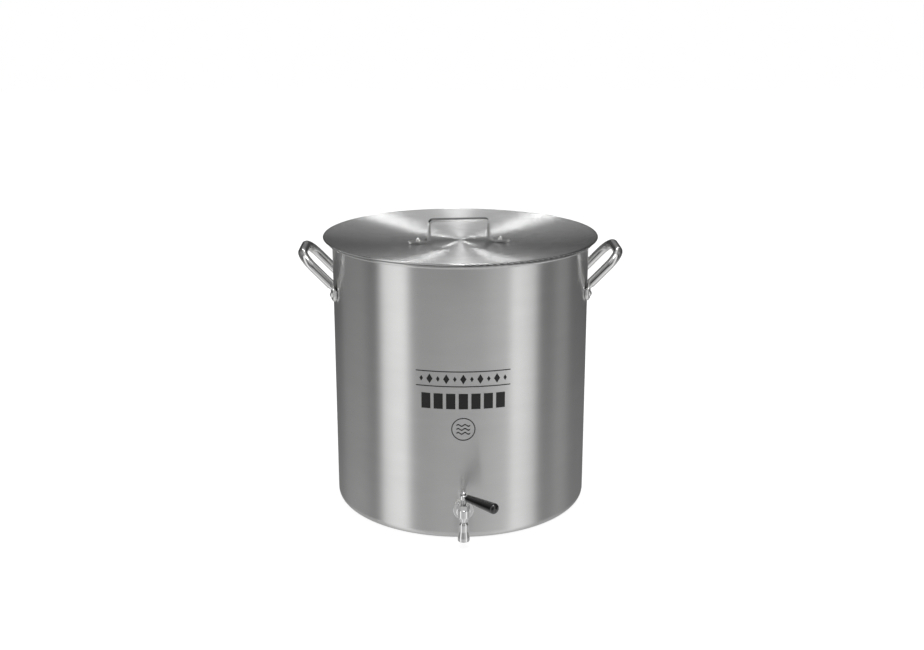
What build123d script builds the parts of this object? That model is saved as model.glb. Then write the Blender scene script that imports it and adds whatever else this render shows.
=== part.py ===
from build123d import *
import math
import os

# Brew kettle: a spun aluminium stock pot with a loose dished lid, two riveted
# loop handles and a small quarter-turn tap at the foot of the wall.
# Millimetres. Origin on the pot's axis at the underside of its base, +Z up.
# The tap points along -Y and the side handles stand out along +X and -X.

# ---------------------------------------------------------------- driving sizes

# Pot
pot_radius = 169.0          # outside of the wall
wall = 2.2
base_thickness = 3.0
base_corner = 10.0          # outside radius between base and wall
rim_top = 357.6
rim_thickness = 3.3         # height of the rolled rim band
rim_radius = 176.0
rim_fold = 2.0              # radius where the wall turns out into the rim
rim_inner_round = 2.4

# Lid, dished below its edge with a slightly raised centre
lid_thickness = 1.6
lid_gap = 0.3               # between the lid's underside and the rim
lid_radius = 181.0
lid_edge_top = 362.0
lid_curl = 1.3              # radius of the rolled edge
lid_centre_top = 353.0
lid_trough_radius = 54.0
lid_trough_top = 349.7
lid_rest_radius = 168.85    # where the lid sits on the rim's inner edge
lid_turn = 4.4              # degrees that the lid is turned on the pot

# Lid handle, one bent strap
strap_width = 14.0
strap_thickness = 2.8
strap_span = 82.0           # outside of the two legs
strap_top = 381.4
strap_foot_reach = 68.0     # tip of a foot from the axis
strap_corner = 7.0          # outside radius of the upper bends
strap_ankle = 7.0           # inside radius of the lower bends
strap_foot_round = 5.0
strap_offset = -1.6         # the strap sits a little off the lid's centre
strap_foot_gap = 0.55       # between a flat foot and the sheet under its middle
strap_rivet_place = 55.0

# Side handles, round bar with flattened feet
bar_radius = 6.0
handle_slope = 46.0         # degrees above horizontal
handle_half = 42.0          # half the spacing of the arms, centre to centre
handle_start_x = 169.5      # foot of an arm's straight centre line
handle_start_z = 303.6
handle_run = 37.0           # how far the centre line then stands out along X
handle_corner = 22.0
foot_width = 23.0
foot_thickness = 4.4
foot_gap = 0.1              # between a foot's back and the curved wall
foot_top = 297.0
foot_bottom = 281.0
foot_round = 8.5
foot_toe = 2.6              # rounding of the toe's outer edge
foot_rivet_height = 289.5

# Rivets
rivet_shank = 2.8
rivet_head = 4.3
rivet_dome = 2.6
rivet_tail = 1.6
lid_rivet_shank = 2.4
lid_rivet_head = 3.5
lid_rivet_dome = 4.4
rivet_hole_gap = 0.05
tail_gap = 0.1              # lets a rivet's tail clear the curved wall inside
lid_tail_gap = 0.45         # the same under the sloping sheet of the lid

# Tap. Heights and reaches below are counted from the ball's centre.
tap_reach = 190.5           # ball's centre from the pot's axis
tap_height = 43.5           # ball's centre above the base
ball_radius = 5.6
ball_flat = 4.8             # height of the flat on top of the ball
port_radius = 2.8
running_gap = 0.05
chamber_radius = 5.8
barrel_radius = 7.6
barrel_top = 8.5
barrel_bottom = -2.0
neck_radius = 4.35
neck_top = -9.0
neck_bottom = -18.5
collar_radius = 8.9
collar_start = 5.5
collar_end = 14.5
shank_radius = 6.6
shank_bore = 3.6
shank_start = 7.2
shank_end = 36.0
thread_start = 26.5
thread_pitch = 1.3
thread_depth = 0.55
seat_bore = 2.6
seat_radius = 4.1
seat_start = 4.2
seat_length = 3.0
washer_radius = 13.0
washer_start = 14.6
washer_end = 17.2
gasket_radius = 12.2
inner_gasket_thickness = 2.6
inner_washer_thickness = 1.6
nut_across_flats = 22.0
nut_thickness = 6.0
bonnet_across_flats = 13.4
bonnet_plug_bottom = 7.0
bonnet_top = 14.5
stem_radius = 3.2
stem_shoulder_radius = 4.6
stem_shoulder_bottom = 4.9
stem_shoulder_top = 6.2
tongue_width = 2.0
tongue_bottom = 3.4
thrust_washer_top = 6.95
seal_heights = (9.0, 12.0)
seal_groove_radius = 2.0
seal_groove_height = 1.5
seal_section = 0.62
hub_bottom = 21.2
hub_top = 27.8
hub_radius = 5.6
square = 4.4                # stem's squared end, across flats
stem_thread = 1.9
stem_top = 30.6
cap_nut_across_flats = 7.6
cap_nut_top = 31.6
lever_height = 24.6
lever_angle = -45.0         # degrees from +X at rest, negative towards the front
arm_radius = 2.6
arm_reach = 34.0
grip_start = 6.4
grip_reach = 55.5
grip_inner_radius = 4.7
grip_outer_radius = 7.1
nozzle_top = -9.6
nozzle_bottom = -34.5
nozzle_shoulder_radius = 6.2
nozzle_lip_radius = 7.4
nozzle_bore = 5.0
nozzle_bore_top = -21.5
nozzle_ledge_bore = 3.6
nozzle_ledge_top = -20.0

TAP_CENTRE = Pos(0, -tap_reach, tap_height)
TOWARDS_POT = Rot(-90, 0, 0)    # turns a part made along +Z to lie along +Y


# ---------------------------------------------------------------- helpers

def turned(points):
    """Solid of revolution about Z. Each point is (radius, height, corner rounding)."""
    corners = [(radius, 0, height) for radius, height, _ in points]
    roundings = [rounding for _, _, rounding in points]
    outline = FilletPolyline(*corners, radius=roundings, close=True)
    return revolve(make_face(outline), Axis.Z)


def rod(radius, start, end):
    """Plain round bar along Z."""
    return Pos(0, 0, (start + end) / 2) * Cylinder(radius, end - start)


def tube(outer, inner, start, end):
    """Plain ring along Z."""
    return rod(outer, start, end) - rod(inner, start - 1, end + 1)


def dome(radius, height):
    """Cap of a sphere with its flat side on Z = 0."""
    sphere_radius = (radius**2 + height**2) / (2 * height)
    ball = Pos(0, 0, height - sphere_radius) * Sphere(sphere_radius)
    return ball & rod(radius + 1, 0, height + 1)


def rivet(shank, head, dome_height, grip):
    """Round-head rivet along Z: dome above Z = 0, shank through the grip, low tail below."""
    tail = Pos(0, 0, -grip) * Rot(180, 0, 0) * dome(head, rivet_tail)
    return dome(head, dome_height) + rod(shank, -grip - 0.1, 0.1) + tail


def hexagon(across_flats, start, end):
    """Hexagonal bar along Z with its upper corners turned down."""
    corner = across_flats / math.sqrt(3)
    length = end - start
    prism = extrude(RegularPolygon(corner, 6), length)
    cone = Cone(corner + length, corner * 0.93, length, align=(Align.CENTER, Align.CENTER, Align.MIN))
    return Pos(0, 0, start) * (prism & cone)


def thread_grooves(radius, start, end):
    """V-shaped ring grooves that stand for an outside thread along Z."""
    grooves = []
    for turn in range(int((end - start) / thread_pitch)):
        height = start + (turn + 0.5) * thread_pitch
        grooves.append(turned([
            (radius - thread_depth, height, 0),
            (radius + 0.2, height - thread_pitch / 2, 0),
            (radius + 0.2, height + thread_pitch / 2, 0),
        ]))
    return grooves


def at_foot(side, end):
    """Place on the wall behind a handle's foot: +X leads out of the wall, +Z up."""
    turn = math.degrees(math.atan2(handle_half, handle_start_x))
    azimuth = end * turn if side > 0 else 180 - end * turn
    return Rot(0, 0, azimuth) * Pos(pot_radius, 0, 0)


# ---------------------------------------------------------------- pot

def make_pot_body():
    """Spun pot: flat base, straight wall and rolled rim, bored for the tap and the rivets."""
    inner = pot_radius - wall
    under_rim = rim_top - rim_thickness
    band_round = rim_thickness / 2 - 0.01
    pot = turned([
        (0, 0, 0),
        (pot_radius, 0, base_corner),
        (pot_radius, under_rim, rim_fold),
        (rim_radius, under_rim, band_round),
        (rim_radius, rim_top, band_round),
        (inner, rim_top, rim_inner_round),
        (inner, base_thickness, base_corner - wall),
        (0, base_thickness, 0),
    ])
    pot -= TAP_CENTRE * TOWARDS_POT * rod(shank_radius + 0.15, 15, 30)
    for side in (-1, 1):
        for end in (-1, 1):
            hole = rod(rivet_shank + rivet_hole_gap, -10, 10)
            pot -= at_foot(side, end) * Pos(0, 0, foot_rivet_height) * Rot(0, 90, 0) * hole
    return pot


# ---------------------------------------------------------------- side handles

def make_handle(side):
    """Bent round bar whose two ends are flattened into feet that lie on the wall."""
    end_x = handle_start_x + handle_run
    end_z = handle_start_z + handle_run * math.tan(math.radians(handle_slope))
    path = FilletPolyline(
        (handle_start_x, handle_half, handle_start_z),
        (end_x, handle_half, end_z),
        (end_x, -handle_half, end_z),
        (handle_start_x, -handle_half, handle_start_z),
        radius=(handle_corner, handle_corner),
    )
    handle = sweep(arm_end(1) * Circle(bar_radius), path=path)
    for end in (-1, 1):
        handle += make_foot(end)
    if side < 0:
        handle = mirror(handle, Plane.YZ)
    return handle


def arm_end(end):
    """Plane across the lower end of one of the right-hand handle's arms."""
    slope = math.radians(handle_slope)
    origin = (handle_start_x, end * handle_half, handle_start_z)
    return Plane(origin=origin, x_dir=(0, 1, 0), z_dir=(math.cos(slope), 0, math.sin(slope)))


def make_foot(end):
    """Flattened foot at one end of the right-hand handle, with its rivet hole."""
    seat = at_foot(1, end)
    middle = foot_gap + foot_thickness / 2
    outline = Rectangle(foot_width, foot_top - foot_bottom)
    lower = outline.vertices().group_by(Axis.Y)[0]
    outline = fillet(lower, foot_round)
    plate = extrude(Plane.YZ * outline, foot_thickness / 2, both=True)
    toe = plate.edges().filter_by(lambda edge: edge.center().X > foot_thickness / 2 - 0.01)
    plate = fillet(toe.group_by(Axis.Z)[0], foot_toe)
    foot = seat * Pos(middle, 0, (foot_top + foot_bottom) / 2) * plate

    round_end = arm_end(end) * Circle(bar_radius)
    knee_place = seat * Pos(middle + 2.2, 0, (handle_start_z + foot_top) / 2 - 0.5) * Rot(0, 22, 0)
    knee = knee_place * (Rot(0, 0, 90) * Ellipse(foot_width * 0.36, bar_radius * 0.62))
    flat_end = seat * Pos(middle, 0, foot_top) * Rot(0, 0, 90)
    flat_end *= RectangleRounded(foot_width, foot_thickness, 1.2)
    foot += loft([flat_end, knee, round_end])
    hole = rod(rivet_shank + rivet_hole_gap, -10, 10)
    return foot - seat * Pos(0, 0, foot_rivet_height) * Rot(0, 90, 0) * hole


def make_handle_rivets(side):
    """One round-head rivet through each foot of a handle and the wall."""
    grip = wall + foot_gap + foot_thickness + tail_gap
    rivets = []
    for end in (-1, 1):
        place = at_foot(side, end) * Pos(foot_gap + foot_thickness, 0, foot_rivet_height)
        rivets.append(place * Rot(0, 90, 0) * rivet(rivet_shank, rivet_head, rivet_dome, grip))
    return Compound(children=rivets)


# ---------------------------------------------------------------- lid

def dish_line(drop):
    """The lid's dished line from its centre to where it rests on the rim."""
    rest_top = rim_top + lid_gap + lid_thickness
    run = lid_rest_radius - lid_trough_radius
    rise = rest_top - lid_trough_top
    slope = 2 * math.atan2(rise, run)
    return Spline(
        (0, 0, lid_centre_top - drop),
        (lid_trough_radius, 0, lid_trough_top - drop),
        (lid_rest_radius, 0, rest_top - drop),
        tangents=((1, 0, 0), (math.cos(slope), 0, math.sin(slope))),
    )


def make_lid():
    """Spun lid: dished sheet with a rolled edge, bored for the handle's rivets."""
    top = dish_line(0)
    bottom = dish_line(lid_thickness)
    curl_radius = lid_radius - lid_curl
    brim_top = (curl_radius, 0, lid_edge_top - 0.2)
    brim_bottom = (curl_radius, 0, lid_edge_top - 0.2 - lid_thickness)
    section = Curve() + [
        top,
        Line(top @ 1, brim_top),
        Line(brim_top, brim_bottom),
        Line(brim_bottom, bottom @ 1),
        bottom,
        Line(bottom @ 0, top @ 0),
    ]
    lid = revolve(make_face(section), Axis.Z)
    lid += Pos(0, 0, lid_edge_top - lid_curl) * Torus(curl_radius, lid_curl)
    for place in lid_rivet_places():
        lid -= place * rod(lid_rivet_shank + rivet_hole_gap, -20, 20)
    return lid


def strap_foot_bottom():
    """Height of the strap's feet, just clear of the dished sheet under them."""
    return lid_trough_top + strap_foot_gap


def lid_rivet_places():
    """Places of the two lid rivets, on top of the strap's feet."""
    top = strap_foot_bottom() + strap_thickness
    return [
        Rot(0, 0, lid_turn) * Pos(strap_offset + side * strap_rivet_place, 0, top)
        for side in (-1, 1)
    ]


def make_lid_handle():
    """Flat strap bent into a low bridge with a foot turned out at each end."""
    half = strap_thickness / 2
    low = strap_foot_bottom() + half
    high = strap_top - half
    leg = strap_span / 2 - half
    path = FilletPolyline(
        (-strap_foot_reach, 0, low),
        (-leg, 0, low),
        (-leg, 0, high),
        (leg, 0, high),
        (leg, 0, low),
        (strap_foot_reach, 0, low),
        radius=(strap_ankle + half, strap_corner - half, strap_corner - half, strap_ankle + half),
    )
    across = Plane(origin=path @ 0, x_dir=(0, 1, 0), z_dir=path % 0)
    section = across * Rectangle(strap_width, strap_thickness)
    strap = sweep(section, path=path)
    corners = strap.edges().filter_by(Axis.Z)
    tips = corners.filter_by(lambda edge: abs(edge.center().X) > strap_foot_reach - 0.1)
    strap = Rot(0, 0, lid_turn) * Pos(strap_offset, 0, 0) * fillet(tips, strap_foot_round)
    for place in lid_rivet_places():
        strap -= place * rod(lid_rivet_shank + rivet_hole_gap, -10, 10)
    return strap


def make_lid_handle_rivets():
    """One high round-head rivet through each foot of the strap and the lid."""
    grip = strap_thickness + strap_foot_gap + lid_thickness + lid_tail_gap
    rivets = []
    for place in lid_rivet_places():
        rivets.append(place * rivet(lid_rivet_shank, lid_rivet_head, lid_rivet_dome, grip))
    return Compound(children=rivets)


# ---------------------------------------------------------------- tap, fixed pieces

def make_valve_body():
    """Chromed tap body: upright barrel, collar towards the pot and a threaded neck below."""
    barrel = turned([
        (0, neck_bottom, 0),
        (neck_radius, neck_bottom, 0.4),
        (neck_radius, neck_top, 1.5),
        (barrel_radius, barrel_bottom, 3.5),
        (barrel_radius, barrel_top, 1.0),
        (0, barrel_top, 0),
    ])
    collar = turned([
        (0, 0, 0),
        (collar_radius - 1.5, 0, 0),
        (collar_radius - 1.5, collar_start + 3, 1.0),
        (collar_radius, collar_start + 4, 0.3),
        (collar_radius, collar_end, 0.6),
        (0, collar_end, 0),
    ])
    body = barrel + TOWARDS_POT * collar
    body -= rod(chamber_radius, -seat_start, barrel_top + 1)
    body -= rod(seat_radius + running_gap, -seat_start - seat_length, 0)
    body -= rod(port_radius, neck_bottom - 1, 0)
    body -= TOWARDS_POT * rod(seat_radius + running_gap, 0, collar_end + 1)
    body -= TOWARDS_POT * rod(shank_radius + running_gap, shank_start, collar_end + 1)
    return TAP_CENTRE * body


def make_inlet_shank():
    """Hollow threaded tail that passes through the pot's wall."""
    shank = tube(shank_radius, shank_bore, shank_start, shank_end)
    for groove in thread_grooves(shank_radius, thread_start, shank_end - 0.8):
        shank -= groove
    return TAP_CENTRE * TOWARDS_POT * shank


def make_outer_washer():
    """Chromed ring seen round the tap's tail."""
    ring = turned([
        (shank_radius + 0.1, washer_start, 0.2),
        (washer_radius, washer_start, 0.9),
        (washer_radius, washer_end, 0.2),
        (shank_radius + 0.1, washer_end, 0.2),
    ])
    return TAP_CENTRE * TOWARDS_POT * ring


def make_outer_gasket():
    """Silicone ring with its back shaped to the curved wall."""
    ring = TAP_CENTRE * TOWARDS_POT * tube(gasket_radius, shank_radius + 0.1, washer_end, 26)
    return ring - rod(pot_radius + 0.02, 0, 100)


def inner_face():
    """Reach of the flat joint faces inside the pot, clear of the curved wall."""
    inner = pot_radius - wall
    return tap_reach - math.sqrt(inner**2 - gasket_radius**2) + inner_gasket_thickness


def make_inner_gasket():
    """Silicone ring inside the pot, shaped to the wall on one side."""
    ring = TAP_CENTRE * TOWARDS_POT * tube(gasket_radius, shank_radius + 0.1, 20, inner_face())
    return ring & rod(pot_radius - wall - 0.02, 0, 100)


def make_inner_washer():
    """Flat steel washer between the gasket and the nut."""
    ring = tube(gasket_radius, shank_radius + 0.1, inner_face(), inner_face() + inner_washer_thickness)
    return TAP_CENTRE * TOWARDS_POT * ring


def make_lock_nut():
    """Hexagonal nut that pulls the tap against the wall."""
    start = inner_face() + inner_washer_thickness
    nut = hexagon(nut_across_flats, start, start + nut_thickness)
    nut -= rod(shank_radius + running_gap, start - 1, start + nut_thickness + 1)
    return TAP_CENTRE * TOWARDS_POT * nut


def make_seat():
    """Plastic seat ring along Z, cupped to the ball."""
    ring = tube(seat_radius, seat_bore, seat_start, seat_start + seat_length - running_gap)
    return ring - Sphere(ball_radius + running_gap)


def make_bonnet_nut():
    """Hexagonal bonnet screwed into the barrel over the ball, bored for the stem."""
    bonnet = hexagon(bonnet_across_flats, barrel_top, bonnet_top)
    bonnet += rod(chamber_radius - running_gap, bonnet_plug_bottom, barrel_top + 0.5)
    bonnet -= rod(stem_radius + 0.08, 0, bonnet_top + 1)
    return TAP_CENTRE * bonnet


def make_thrust_washer():
    """Low-friction ring between the stem's shoulder and the bonnet."""
    bottom = stem_shoulder_top + running_gap
    return TAP_CENTRE * tube(stem_shoulder_radius, stem_radius + 0.1, bottom, thrust_washer_top)


def make_spout_nozzle():
    """Chromed bell-ended spout screwed onto the neck."""
    nozzle = turned([
        (nozzle_ledge_bore, nozzle_ledge_top, 0),
        (neck_radius + running_gap, nozzle_ledge_top, 0),
        (neck_radius + running_gap, nozzle_top, 0),
        (neck_radius + 0.6, nozzle_top, 0),
        (nozzle_shoulder_radius, nozzle_top - 2.2, 1.6),
        (nozzle_shoulder_radius, nozzle_top - 11.5, 12.0),
        (nozzle_lip_radius, nozzle_bottom + 5, 6.0),
        (nozzle_lip_radius, nozzle_bottom, 0.9),
        (nozzle_bore, nozzle_bottom, 0.4),
        (nozzle_bore, nozzle_bore_top, 0.5),
        (nozzle_ledge_bore, nozzle_bore_top, 0),
    ])
    return TAP_CENTRE * nozzle


def make_spout_seal():
    """Flat ring squeezed between the neck's end and the nozzle's ledge."""
    return TAP_CENTRE * tube(neck_radius, nozzle_ledge_bore, nozzle_ledge_top, neck_bottom)


# ---------------------------------------------------------------- tap, turning pieces

def turned_with_lever(shape):
    """Puts a piece made with its lever along +X into the rest position."""
    return TAP_CENTRE * Rot(0, 0, lever_angle) * shape


def make_valve_ball():
    """Ball with a side port opposite the lever, a bottom port and a slot for the stem."""
    ball = Sphere(ball_radius) - Pos(0, 0, ball_flat + 5) * Box(20, 20, 10)
    ball -= rod(port_radius, -10, 0)
    ball -= Rot(0, -90, 0) * rod(port_radius, 0, 10)
    ball -= Sphere(port_radius)
    ball -= Pos(0, 0, tongue_bottom + 5) * Box(20, tongue_width + 0.1, 10)
    return turned_with_lever(ball)


def make_valve_stem():
    """Stem with a tongue below, two ring grooves, a squared end and a thread on top."""
    tongue_height = stem_shoulder_bottom - tongue_bottom
    tongue = Pos(0, 0, tongue_bottom + tongue_height / 2) * Box(7.0, tongue_width, tongue_height)
    stem = tongue + rod(stem_shoulder_radius, stem_shoulder_bottom, stem_shoulder_top)
    stem += rod(stem_radius, stem_shoulder_top, hub_bottom)
    stem += Pos(0, 0, (hub_bottom + hub_top) / 2) * Box(square, square, hub_top - hub_bottom)
    stem += rod(stem_thread, hub_top, stem_top)
    for height in seal_heights:
        half = seal_groove_height / 2
        stem -= tube(stem_radius + 1, seal_groove_radius, height - half, height + half)
    return turned_with_lever(stem)


def make_stem_o_rings():
    """Two rubber rings in the stem's grooves."""
    centre_radius = seal_groove_radius + seal_section + 0.01
    rings = [TAP_CENTRE * Pos(0, 0, height) * Torus(centre_radius, seal_section) for height in seal_heights]
    return Compound(children=rings)


def make_lever_arm():
    """Chromed lever: a hub with a square hole and a round arm into the grip."""
    hub = turned([
        (0, hub_bottom, 0),
        (hub_radius - 0.8, hub_bottom, 0.3),
        (hub_radius, hub_bottom + 1.2, 0.5),
        (hub_radius, hub_top - 0.8, 0.5),
        (hub_radius - 0.8, hub_top, 0.3),
        (0, hub_top, 0),
    ])
    arm = Pos(0, 0, lever_height) * Rot(0, 90, 0) * rod(arm_radius, 0, arm_reach)
    hole = Pos(0, 0, (hub_bottom + hub_top) / 2) * Box(square + 0.1, square + 0.1, 20)
    return turned_with_lever(hub + arm - hole)


def make_lever_grip():
    """Tapered plastic grip, thicker and rounded at its outer end."""
    grip = turned([
        (arm_radius + running_gap, grip_start, 0),
        (grip_inner_radius, grip_start, 0.8),
        (grip_outer_radius, grip_reach - 1.5, 4.5),
        (0, grip_reach, 0),
        (0, arm_reach + 0.5, 0),
        (arm_radius + running_gap, arm_reach + 0.5, 0),
    ])
    grip = Pos(0, 0, lever_height) * Rot(0, 90, 0) * grip
    return turned_with_lever(grip - rod(hub_radius + 0.1, hub_bottom - 5, hub_top + 5))


def make_lever_cap_nut():
    """Domed nut that holds the lever on the stem."""
    height = cap_nut_top - hub_top
    nut = hexagon(cap_nut_across_flats, hub_top, hub_top + height * 0.55)
    nut += Pos(0, 0, hub_top + height * 0.5) * dome(cap_nut_across_flats / 2 - 0.3, height * 0.5)
    nut -= rod(stem_thread + running_gap, hub_top - 1, stem_top + 0.1)
    return turned_with_lever(nut)


# ---------------------------------------------------------------- all pieces

pieces = {
    "pot_body": make_pot_body(),
    "handle_left": make_handle(-1),
    "handle_right": make_handle(1),
    "handle_left_rivets": make_handle_rivets(-1),
    "handle_right_rivets": make_handle_rivets(1),
    "lid": make_lid(),
    "lid_handle": make_lid_handle(),
    "lid_handle_rivets": make_lid_handle_rivets(),
    "valve_body": make_valve_body(),
    "inlet_shank": make_inlet_shank(),
    "outer_washer": make_outer_washer(),
    "outer_gasket": make_outer_gasket(),
    "inner_gasket": make_inner_gasket(),
    "inner_washer": make_inner_washer(),
    "lock_nut": make_lock_nut(),
    "inlet_seat": TAP_CENTRE * TOWARDS_POT * make_seat(),
    "outlet_seat": TAP_CENTRE * Rot(180, 0, 0) * make_seat(),
    "bonnet_nut": make_bonnet_nut(),
    "thrust_washer": make_thrust_washer(),
    "spout_nozzle": make_spout_nozzle(),
    "spout_seal": make_spout_seal(),
    "valve_ball": make_valve_ball(),
    "valve_stem": make_valve_stem(),
    "stem_o_rings": make_stem_o_rings(),
    "lever_arm": make_lever_arm(),
    "lever_grip": make_lever_grip(),
    "lever_cap_nut": make_lever_cap_nut(),
}

os.makedirs("parts", exist_ok=True)
for name, piece in pieces.items():
    export_step(piece, f"parts/{name}.step")
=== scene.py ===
import math

import bpy
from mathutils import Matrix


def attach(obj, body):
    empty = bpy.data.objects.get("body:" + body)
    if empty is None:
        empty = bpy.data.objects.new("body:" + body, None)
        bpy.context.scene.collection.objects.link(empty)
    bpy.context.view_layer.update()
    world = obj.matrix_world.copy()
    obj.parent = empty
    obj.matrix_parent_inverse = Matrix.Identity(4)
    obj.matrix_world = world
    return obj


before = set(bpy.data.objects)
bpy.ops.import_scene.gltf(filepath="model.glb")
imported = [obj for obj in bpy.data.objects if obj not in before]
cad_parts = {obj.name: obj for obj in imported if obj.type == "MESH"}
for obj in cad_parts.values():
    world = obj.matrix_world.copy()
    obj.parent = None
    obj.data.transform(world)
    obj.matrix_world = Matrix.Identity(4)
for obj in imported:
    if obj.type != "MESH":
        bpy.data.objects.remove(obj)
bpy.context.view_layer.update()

# Brew kettle of spun aluminium. Its tap points to the front (-Y), where the camera stands,
# a little above the lid. Sizes are in metres and angles in degrees.

# ---------------------------------------------------------------- camera and floor

CAMERA_PLACE = (-0.0337, -1.6145, 0.6941)
CAMERA_TILT = 74.15             # up from looking straight down
CAMERA_TURN = -1.27             # about +Z
CAMERA_LENS = 48.43             # millimetres
SENSOR_WIDTH = 36.0             # millimetres

FLOOR_HALF = 6.0
FLOOR_DROP = 0.0005             # below the kettle's base
FLOOR_GREY = 0.4
FLOOR_GLOW = 0.84

# ---------------------------------------------------------------- studio

# Upright soft boxes round the kettle: azimuth from the camera, positive to its right, then half
# width, soft edge and brightness. The last is a dim one straight in front.
SOFT_BOXES = (
    (-61.0, 14.0, 10.0, 0.86),
    (-26.0, 22.0, 44.0, 0.17),
    (58.5, 13.0, 9.0, 0.54),
    (38.0, 24.0, 44.0, 0.36),
    (-112.0, 20.0, 12.0, 0.10),
    (103.0, 10.0, 12.0, 0.12),
    (0.0, 24.0, 14.0, 0.10),
)
# Boxes given by the sideways and upward parts of a direction: place sideways, height, half
# width, half height, soft edge and brightness. The pair stands high behind the kettle, and
# the key light is overhead in front.
HIGH_BOXES = (
    (-0.113, 0.62, 0.013, 0.045, 0.011, 14.0),
    (0.113, 0.62, 0.013, 0.045, 0.011, 14.0),
)
KEY_LIGHT = (0.02, 0.96, 0.10, 0.03, 0.02, 9.0)
# Pale strip of ceiling from front to back: half width and soft edge, as sideways parts
CEILING_STRIP = (0.20, 0.03)
# Brightness by a direction's height, from -1 down to 1 up: two heights, then the level at each
ROOM_LEVEL = 0.055
CEILING = (0.10, 0.60, 0.0, 0.46)
CEILING_SIDES = (0.30, 0.90, 0.0, 0.16)
GROUND = (-0.60, -0.12, 0.42, 0.0)
# Two heights, then the share of the upright soft boxes' light at each
BOX_FADE = (-0.75, -0.2, 0.5, 1.0)
# Dark flag straight in front: half width, soft edge, and the share of the room's light that
# it leaves. It stands above eye level, so it counts for nothing at the first height below
# and in full at the second.
FRONT_FLAG = (24.0, 14.0, 0.12)
FRONT_FLAG_HEIGHT = (-0.12, 0.06, 0.0, 1.0)

# ---------------------------------------------------------------- colours

ALUMINIUM = (0.80, 0.80, 0.795)
LID_ALUMINIUM = (0.80, 0.80, 0.80)
POLISHED = (0.88, 0.88, 0.875)
CHROME = (0.90, 0.90, 0.90)
STEEL = (0.56, 0.56, 0.56)
BRASS = (0.78, 0.58, 0.26)
SILICONE = (0.80, 0.80, 0.77)
BLACK_RUBBER = (0.02, 0.02, 0.02)
WHITE_PLASTIC = (0.88, 0.88, 0.86)
GRIP_BLACK = (0.003, 0.003, 0.003)
PRINT_INK = (0.006, 0.006, 0.006)

# ---------------------------------------------------------------- surface detail

# Parts of a noise's values that are stretched to the full range of an effect
NOISE_RANGE = (0.3, 0.7)
PATCH_RANGE = (0.35, 0.65)
SMUDGE_RANGE = (0.35, 0.7)
WEAR_RANGE = (0.12, 0.42)

# Scales are those of noise, so a larger one is finer. Roughness pairs are the least and the
# most, in parts of the material's own roughness.

# Spun metal: fine and broad tool marks, and how fast each changes along its run round the pot
FINE_MARKS = 900.0
FINE_DRIFT = 0.35
BROAD_MARKS = 45.0
BROAD_DRIFT = 0.05
FINE_SHARE = 0.6                # of the tint; the rest comes from the broad marks
SMUDGES = 9.0
SMUDGE_ROUGHNESS = 0.10
SPUN_ROUGHNESS = (0.88, 1.10)
SPUN_DARKER = 0.90
SPUN_RELIEF = 0.35
ACROSS_MARKS = 0.25             # of a turn, which spreads highlights across the tool marks

# Polished metal: dull patches and rubbing marks
DULL_PATCHES = 60.0
RUBBING_MARKS = 260.0
FINE_RUBBING_MARKS = 400.0
POLISHED_ROUGHNESS = (0.7, 1.4)
POLISHED_DARKER = 0.93
POLISHED_RELIEF = 0.10

# Plastic, rubber and ink: grain of the skin, with patches that are broader
SKIN_GRAIN = 500.0
GRIP_GRAIN = 700.0
INK_GRAIN = 900.0
PATCHES_BROADER = 12
SKIN_ROUGHNESS = (0.85, 1.2)
SKIN_LIGHTER = 1.3
SKIN_LIFT = 0.001
SKIN_RELIEF = 0.25

METAL_MARK_DEPTH = 0.00002
SKIN_DEPTH = 0.00003

# ---------------------------------------------------------------- printed motif

WALL_RADIUS = 0.169
PRINT_STANDS_PROUD = 0.0001
PRINT_THICKNESS = 0.00008

# Two rules with a row of lozenges between them
RULE_HIGH = 0.2238
RULE_LOW = 0.2047
RULE_WIDTH = 0.119
RULE_HALF_THICKNESS = 0.0006
LOZENGES_EACH_SIDE = 5
LOZENGE_SPACING = 0.0105
LARGE_LOZENGE = 0.0062          # half height
SMALL_LOZENGE = 0.0036
LOZENGE_PROPORTION = 0.62       # width over height
LOZENGE_TIP = 0.00001           # half height left at its left and right ends

# Row of plain blocks
BLOCKS = 7
BLOCK_LOW = 0.1755
BLOCK_HIGH = 0.1955
BLOCK_WIDTH = 0.0115
BLOCK_START = -0.0525
BLOCK_SPACING = 0.01558

# Ring with three waves
BADGE_HEIGHT = 0.1492
BADGE_OUTER = 0.0150
BADGE_INNER = 0.0138
WAVE_ROWS = (-0.0052, 0.0, 0.0052)
WAVE_WIDTH = 0.0170
WAVE_SWING = 0.0011
WAVE_THICKNESS = 0.0016
WAVE_CRESTS = 2

# Steps that each kind of band is drawn in
BAR_STEPS = 40
RING_STEPS = 64
LOZENGE_STEPS = 12
WAVE_STEPS = 48


# ---------------------------------------------------------------- node helpers

def new_material(name):
    """Node material with its tree and principled shader."""
    material = bpy.data.materials.new(name)
    material.use_nodes = True
    tree = material.node_tree
    return material, tree, tree.nodes["Principled BSDF"]


def add(tree, kind, **settings):
    """Adds a node and sets its properties."""
    node = tree.nodes.new(kind)
    for key, value in settings.items():
        setattr(node, key, value)
    return node


def feed(tree, socket, value):
    """Sets a socket to a number or links it to another socket."""
    if isinstance(value, (int, float)):
        socket.default_value = value
    else:
        tree.links.new(value, socket)


def math_node(tree, operation, *values):
    """Math node on one or two sockets or numbers."""
    node = add(tree, "ShaderNodeMath", operation=operation)
    for socket, value in zip(node.inputs, values):
        feed(tree, socket, value)
    return node.outputs[0]


def ramp(tree, source, low, high, bottom, top, curve="LINEAR"):
    """Maps a value's range low..high to bottom..top, held at both ends."""
    node = add(tree, "ShaderNodeMapRange", interpolation_type=curve)
    node.inputs["From Min"].default_value = low
    node.inputs["From Max"].default_value = high
    node.inputs["To Min"].default_value = bottom
    node.inputs["To Max"].default_value = top
    tree.links.new(source, node.inputs["Value"])
    return node.outputs["Result"]


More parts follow.
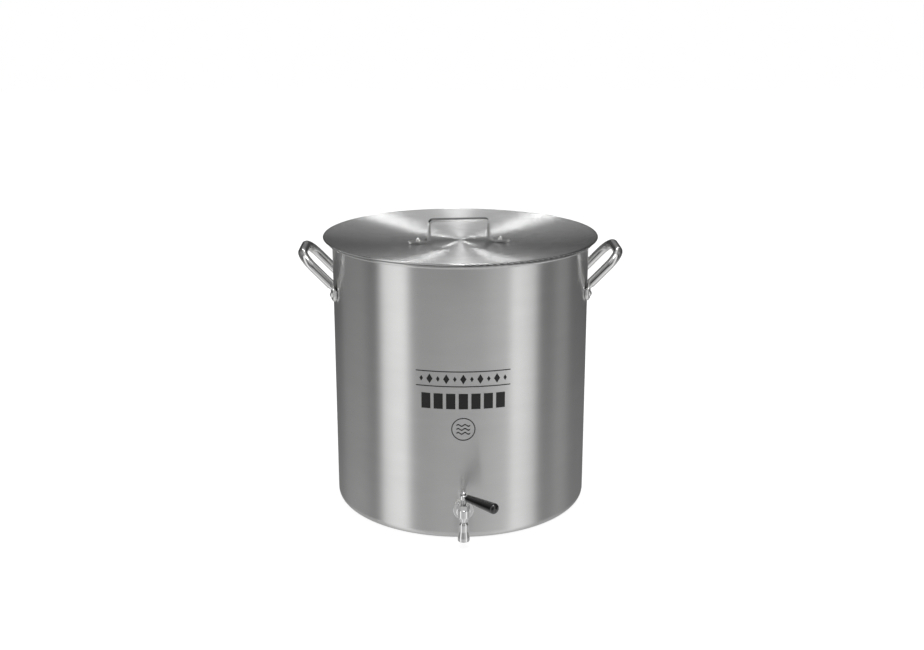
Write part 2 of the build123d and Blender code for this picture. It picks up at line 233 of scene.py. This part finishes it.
def tinted(tree, factor, first, second):
    """Colour between two colours."""
    node = add(tree, "ShaderNodeMix", data_type="RGBA")
    tree.links.new(factor, node.inputs["Factor"])
    node.inputs["A"].default_value = (*first, 1)
    node.inputs["B"].default_value = (*second, 1)
    return node.outputs["Result"]


def noise(tree, vector, scale, detail, roughness=0.6):
    """Fractal noise value at a vector."""
    node = add(tree, "ShaderNodeTexNoise")
    node.inputs["Scale"].default_value = scale
    node.inputs["Detail"].default_value = detail
    node.inputs["Roughness"].default_value = roughness
    tree.links.new(vector, node.inputs["Vector"])
    return node.outputs["Fac"]


def object_place(tree):
    """The point's place in the kettle's frame."""
    return add(tree, "ShaderNodeTexCoord").outputs["Object"]


def split(tree, vector):
    """The three numbers of a vector."""
    node = add(tree, "ShaderNodeSeparateXYZ")
    tree.links.new(vector, node.inputs[0])
    return node.outputs


def joined(tree, x, y, z):
    """A vector from three numbers."""
    node = add(tree, "ShaderNodeCombineXYZ")
    for socket, value in zip(node.inputs, (x, y, z)):
        feed(tree, socket, value)
    return node.outputs[0]


def bump(tree, shader, height, distance, strength):
    """Fine relief on the shader."""
    node = add(tree, "ShaderNodeBump")
    node.inputs["Distance"].default_value = distance
    node.inputs["Strength"].default_value = strength
    tree.links.new(height, node.inputs["Height"])
    tree.links.new(node.outputs[0], shader.inputs["Normal"])


# ---------------------------------------------------------------- materials

def tool_marks(tree, angle, across, scale, drift, detail):
    """Noise drawn out round the axis, like the marks of a spinning tool."""
    run = math_node(tree, "MULTIPLY", angle, drift)
    return noise(tree, joined(tree, run, 0.0, across), scale, detail)


def tint(tree, shader, factor, value_range, first, second):
    """Base colour between two colours, by a range of a factor."""
    share = ramp(tree, factor, *value_range, 0.0, 1.0)
    tree.links.new(tinted(tree, share, first, second), shader.inputs["Base Color"])


def varied(tree, factor, value_range, roughness, parts):
    """Roughness between two parts of a material's own, by a range of a factor."""
    least, most = (roughness * part for part in parts)
    return ramp(tree, factor, *value_range, least, most)


def spun_metal(name, colour, roughness, anisotropy, upright):
    """Aluminium with fine tool marks round the pot's axis, on an upright wall or a flat disc."""
    material, tree, shader = new_material(name)
    shader.inputs["Metallic"].default_value = 1.0
    shader.inputs["Anisotropic"].default_value = anisotropy
    shader.inputs["Anisotropic Rotation"].default_value = ACROSS_MARKS
    tangent = add(tree, "ShaderNodeTangent", direction_type="RADIAL", axis="Z")
    tree.links.new(tangent.outputs[0], shader.inputs["Tangent"])

    place = object_place(tree)
    x, y, z = split(tree, place)
    squares = [math_node(tree, "MULTIPLY", part, part) for part in (x, y)]
    distance = math_node(tree, "SQRT", math_node(tree, "ADD", *squares))
    across = z if upright else distance
    angle = math_node(tree, "ARCTAN2", y, x)
    fine = tool_marks(tree, angle, across, FINE_MARKS, FINE_DRIFT, detail=3.0)
    broad = tool_marks(tree, angle, across, BROAD_MARKS, BROAD_DRIFT, detail=2.0)
    smudges = noise(tree, place, SMUDGES, detail=3.0)

    marks = math_node(tree, "ADD", math_node(tree, "MULTIPLY", fine, FINE_SHARE),
                      math_node(tree, "MULTIPLY", broad, 1 - FINE_SHARE))
    darker = tuple(channel * SPUN_DARKER for channel in colour)
    tint(tree, shader, marks, NOISE_RANGE, darker, colour)
    dull = varied(tree, fine, NOISE_RANGE, roughness, SPUN_ROUGHNESS)
    worn = varied(tree, smudges, SMUDGE_RANGE, roughness, (0.0, SMUDGE_ROUGHNESS))
    tree.links.new(math_node(tree, "ADD", dull, worn), shader.inputs["Roughness"])
    bump(tree, shader, fine, METAL_MARK_DEPTH, SPUN_RELIEF)
    return material


def polished_metal(name, colour, roughness, marks_scale=RUBBING_MARKS):
    """Bright metal with faint rubbing marks and dull patches."""
    material, tree, shader = new_material(name)
    shader.inputs["Metallic"].default_value = 1.0
    place = object_place(tree)
    patches = noise(tree, place, DULL_PATCHES, detail=4.0)
    marks = noise(tree, place, marks_scale, detail=6.0, roughness=0.7)
    darker = tuple(channel * POLISHED_DARKER for channel in colour)
    tint(tree, shader, patches, PATCH_RANGE, darker, colour)
    wear = math_node(tree, "MULTIPLY", patches, marks)
    tree.links.new(varied(tree, wear, WEAR_RANGE, roughness, POLISHED_ROUGHNESS),
                   shader.inputs["Roughness"])
    bump(tree, shader, marks, METAL_MARK_DEPTH, POLISHED_RELIEF)
    return material


def moulded(name, colour, roughness, scale=SKIN_GRAIN, coat=0.0):
    """Plastic, rubber or ink with a fine skin."""
    material, tree, shader = new_material(name)
    shader.inputs["Coat Weight"].default_value = coat
    place = object_place(tree)
    grain = noise(tree, place, scale, detail=5.0)
    patches = noise(tree, place, scale / PATCHES_BROADER, detail=3.0)
    lighter = tuple(channel * SKIN_LIGHTER + SKIN_LIFT for channel in colour)
    tint(tree, shader, patches, PATCH_RANGE, colour, lighter)
    tree.links.new(varied(tree, patches, NOISE_RANGE, roughness, SKIN_ROUGHNESS),
                   shader.inputs["Roughness"])
    bump(tree, shader, grain, SKIN_DEPTH, SKIN_RELIEF)
    return material


def assign(material, *nodes):
    """Gives CAD nodes one material."""
    for node in nodes:
        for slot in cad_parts[node].material_slots:
            slot.material = material


pot_metal = spun_metal("pot_spun_aluminium", ALUMINIUM, 0.30, anisotropy=0.95, upright=True)
lid_metal = spun_metal("lid_spun_aluminium", LID_ALUMINIUM, 0.27, anisotropy=1.0, upright=False)
handle_metal = polished_metal("handle_polished", POLISHED, 0.16)
strap_metal = polished_metal("strap_polished", POLISHED, 0.18)
rivet_metal = polished_metal("rivet_bright", POLISHED, 0.20)
chrome = polished_metal("tap_chrome", CHROME, 0.07, FINE_RUBBING_MARKS)
steel = polished_metal("washer_steel", STEEL, 0.30)
brass = polished_metal("turned_brass", BRASS, 0.25)
silicone = moulded("gasket_silicone", SILICONE, 0.45)
black_rubber = moulded("seal_rubber", BLACK_RUBBER, 0.55)
white_plastic = moulded("seat_plastic", WHITE_PLASTIC, 0.40)
black_plastic = moulded("grip_plastic", GRIP_BLACK, 0.13, GRIP_GRAIN, coat=1.0)
print_ink = moulded("wall_print_ink", PRINT_INK, 0.42, INK_GRAIN)

assign(pot_metal, "pot_body")
assign(lid_metal, "lid")
assign(handle_metal, "handle_left", "handle_right")
assign(strap_metal, "lid_handle")
assign(rivet_metal, "handle_left_rivets", "handle_right_rivets", "lid_handle_rivets")
assign(chrome, "valve_body", "inlet_shank", "outer_washer", "bonnet_nut", "spout_nozzle",
       "valve_ball", "lever_arm", "lever_cap_nut")
assign(steel, "inner_washer", "valve_stem")
assign(brass, "lock_nut")
assign(silicone, "outer_gasket", "inner_gasket")
assign(black_rubber, "spout_seal", "stem_o_rings")
assign(white_plastic, "inlet_seat", "outlet_seat", "thrust_washer")
assign(black_plastic, "lever_grip")


# ---------------------------------------------------------------- print on the wall

def on_wall(across, height):
    """Point just proud of the wall, at a distance round it from the tap and a height."""
    angle = across / WALL_RADIUS
    reach = WALL_RADIUS + PRINT_STANDS_PROUD
    return (reach * math.sin(angle), -reach * math.cos(angle), height)


def wall_print(name, bands):
    """Ink on the wall. Each band is a list of point pairs that are joined into faces."""
    vertices = []
    faces = []
    for band in bands:
        first = len(vertices)
        for pair in band:
            vertices.extend(on_wall(*point) for point in pair)
        for step in range(len(band) - 1):
            corner = first + 2 * step
            faces.append((corner, corner + 1, corner + 3, corner + 2))
    mesh = bpy.data.meshes.new(name)
    mesh.from_pydata(vertices, [], faces)
    mesh.update()
    piece = bpy.data.objects.new(name, mesh)
    bpy.context.scene.collection.objects.link(piece)
    thicken = piece.modifiers.new("ink", "SOLIDIFY")
    thicken.thickness = PRINT_THICKNESS
    thicken.offset = 0
    mesh.materials.append(print_ink)
    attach(piece, "pot")


def bar(low, high, start, width):
    """Flat rectangle of print."""
    band = []
    for step in range(BAR_STEPS + 1):
        place = start + width * step / BAR_STEPS
        band.append(((place, low), (place, high)))
    return band


def rule(height):
    """Thin line of print, centred above the tap."""
    return bar(height - RULE_HALF_THICKNESS, height + RULE_HALF_THICKNESS, -RULE_WIDTH / 2, RULE_WIDTH)


def lozenge(across, middle, half_height):
    """Diamond of print, made as a band from its left corner to its right one."""
    half_width = half_height * LOZENGE_PROPORTION
    band = []
    for step in range(LOZENGE_STEPS + 1):
        side = -1 + 2 * step / LOZENGE_STEPS
        reach = half_height * (1 - abs(side)) + LOZENGE_TIP
        place = across + side * half_width
        band.append(((place, middle - reach), (place, middle + reach)))
    return band


def ring(middle, outer, inner):
    """Round ring of print."""
    band = []
    for step in range(RING_STEPS + 1):
        turn = 2 * math.pi * step / RING_STEPS
        band.append(((outer * math.cos(turn), middle + outer * math.sin(turn)),
                     (inner * math.cos(turn), middle + inner * math.sin(turn))))
    return band


def wave(middle):
    """Wavy line of print."""
    half = WAVE_THICKNESS / 2
    band = []
    for step in range(WAVE_STEPS + 1):
        place = -WAVE_WIDTH / 2 + WAVE_WIDTH * step / WAVE_STEPS
        level = middle + WAVE_SWING * math.sin(2 * math.pi * WAVE_CRESTS * step / WAVE_STEPS)
        band.append(((place, level - half), (place, level + half)))
    return band


def print_motif():
    """The three printed pieces, from the top down."""
    border = [rule(RULE_HIGH), rule(RULE_LOW)]
    for place in range(-LOZENGES_EACH_SIDE, LOZENGES_EACH_SIDE + 1):
        half_height = LARGE_LOZENGE if place % 2 == 0 else SMALL_LOZENGE
        border.append(lozenge(place * LOZENGE_SPACING, (RULE_HIGH + RULE_LOW) / 2, half_height))
    wall_print("print_border", border)

    blocks = []
    for place in range(BLOCKS):
        start = BLOCK_START + place * BLOCK_SPACING
        blocks.append(bar(BLOCK_LOW, BLOCK_HIGH, start, BLOCK_WIDTH))
    wall_print("print_blocks", blocks)

    badge = [ring(BADGE_HEIGHT, BADGE_OUTER, BADGE_INNER)]
    badge.extend(wave(BADGE_HEIGHT + row) for row in WAVE_ROWS)
    wall_print("print_badge", badge)


# ---------------------------------------------------------------- floor, light and camera

def make_floor():
    """Wide pale floor under the kettle, left out of reflections."""
    corners = [(-FLOOR_HALF, -FLOOR_HALF, 0), (FLOOR_HALF, -FLOOR_HALF, 0),
               (FLOOR_HALF, FLOOR_HALF, 0), (-FLOOR_HALF, FLOOR_HALF, 0)]
    mesh = bpy.data.meshes.new("floor")
    mesh.from_pydata(corners, [], [(0, 1, 2, 3)])
    floor = bpy.data.objects.new("floor", mesh)
    floor.location.z = -FLOOR_DROP
    bpy.context.scene.collection.objects.link(floor)
    material, _, shader = new_material("floor_white")
    shader.inputs["Base Color"].default_value = (FLOOR_GREY, FLOOR_GREY, FLOOR_GREY, 1)
    shader.inputs["Roughness"].default_value = 0.9
    shader.inputs["Specular IOR Level"].default_value = 0.1
    shader.inputs["Emission Color"].default_value = (1, 1, 1, 1)
    shader.inputs["Emission Strength"].default_value = FLOOR_GLOW
    mesh.materials.append(material)
    floor.visible_glossy = False


def distance_from(tree, value, middle):
    """How far a value is from a middle."""
    return math_node(tree, "ABSOLUTE", math_node(tree, "SUBTRACT", value, middle))


def soft_box(tree, azimuth, centre, half_width, soft_edge, level):
    """Brightness of one upright soft box by a direction's azimuth."""
    away = distance_from(tree, azimuth, centre)
    inner = half_width - soft_edge / 2
    outer = half_width + soft_edge / 2
    return ramp(tree, away, inner, outer, level, 0.0, "SMOOTHSTEP")


def high_box(tree, sideways, z, place, height, half_width, half_height, soft_edge, level):
    """Brightness of one box by a direction's sideways and upward parts."""
    inside = level
    for part, middle, half in ((sideways, place, half_width), (z, height, half_height)):
        away = distance_from(tree, part, middle)
        inside = math_node(tree, "MULTIPLY", ramp(tree, away, half, half + soft_edge, 1.0, 0.0), inside)
    return inside


def total(tree, values):
    """Sum of sockets."""
    result = values[0]
    for value in values[1:]:
        result = math_node(tree, "ADD", result, value)
    return result


def past_flag(tree, azimuth, z):
    """Share of the room's light that gets past the dark flag in front."""
    half_width, soft_edge, share_left = FRONT_FLAG
    taken = soft_box(tree, azimuth, 0.0, half_width, soft_edge, share_left - 1.0)
    taken = math_node(tree, "MULTIPLY", taken, ramp(tree, z, *FRONT_FLAG_HEIGHT))
    return math_node(tree, "ADD", taken, 1.0)


def studio_light(tree):
    """Brightness of the studio in every direction."""
    x, y, z = split(tree, add(tree, "ShaderNodeTexCoord").outputs["Generated"])
    forward = math_node(tree, "MULTIPLY", y, -1.0)
    azimuth = math_node(tree, "DEGREES", math_node(tree, "ARCTAN2", x, forward))
    azimuth = math_node(tree, "SUBTRACT", azimuth, CAMERA_TURN)
    turn = math.radians(CAMERA_TURN)
    sideways = math_node(tree, "ADD", math_node(tree, "MULTIPLY", x, math.cos(turn)),
                         math_node(tree, "MULTIPLY", y, math.sin(turn)))

    boxes = total(tree, [soft_box(tree, azimuth, *box) for box in SOFT_BOXES])
    boxes = math_node(tree, "MULTIPLY", boxes, ramp(tree, z, *BOX_FADE))
    room = total(tree, [boxes, ramp(tree, z, *CEILING_SIDES), ramp(tree, z, *GROUND)])
    room = math_node(tree, "ADD", room, ROOM_LEVEL)
    room = math_node(tree, "MULTIPLY", room, past_flag(tree, azimuth, z))

    half_width, soft_edge = CEILING_STRIP
    strip = ramp(tree, math_node(tree, "ABSOLUTE", sideways), half_width, half_width + soft_edge, 1.0, 0.0)
    ceiling = math_node(tree, "MULTIPLY", strip, ramp(tree, z, *CEILING))
    behind = math_node(tree, "GREATER_THAN", y, 0.0)
    in_front = math_node(tree, "SUBTRACT", 1.0, behind)
    high = total(tree, [high_box(tree, sideways, z, *box) for box in HIGH_BOXES])
    high = math_node(tree, "MULTIPLY", high, behind)
    key = math_node(tree, "MULTIPLY", high_box(tree, sideways, z, *KEY_LIGHT), in_front)
    return total(tree, [room, ceiling, high, key])


def make_world():
    """White backdrop for the camera, and the studio for everything else."""
    world = bpy.data.worlds.new("studio")
    bpy.context.scene.world = world
    world.use_nodes = True
    tree = world.node_tree
    tree.nodes.clear()
    studio = add(tree, "ShaderNodeBackground")
    backdrop = add(tree, "ShaderNodeBackground")
    for background in (studio, backdrop):
        background.inputs["Color"].default_value = (1, 1, 1, 1)
    tree.links.new(studio_light(tree), studio.inputs["Strength"])
    path = add(tree, "ShaderNodeLightPath")
    mix = add(tree, "ShaderNodeMixShader")
    output = add(tree, "ShaderNodeOutputWorld")
    tree.links.new(path.outputs["Is Camera Ray"], mix.inputs[0])
    tree.links.new(studio.outputs[0], mix.inputs[1])
    tree.links.new(backdrop.outputs[0], mix.inputs[2])
    tree.links.new(mix.outputs[0], output.inputs[0])


def make_camera():
    """Camera in front of the tap, looking a little down."""
    data = bpy.data.cameras.new("camera")
    data.lens = CAMERA_LENS
    data.sensor_width = SENSOR_WIDTH
    camera = bpy.data.objects.new("camera", data)
    camera.location = CAMERA_PLACE
    camera.rotation_euler = (math.radians(CAMERA_TILT), 0, math.radians(CAMERA_TURN))
    bpy.context.scene.collection.objects.link(camera)
    bpy.context.scene.camera = camera


print_motif()
make_floor()
make_world()
make_camera()
bpy.context.scene.view_settings.view_transform = "Standard"
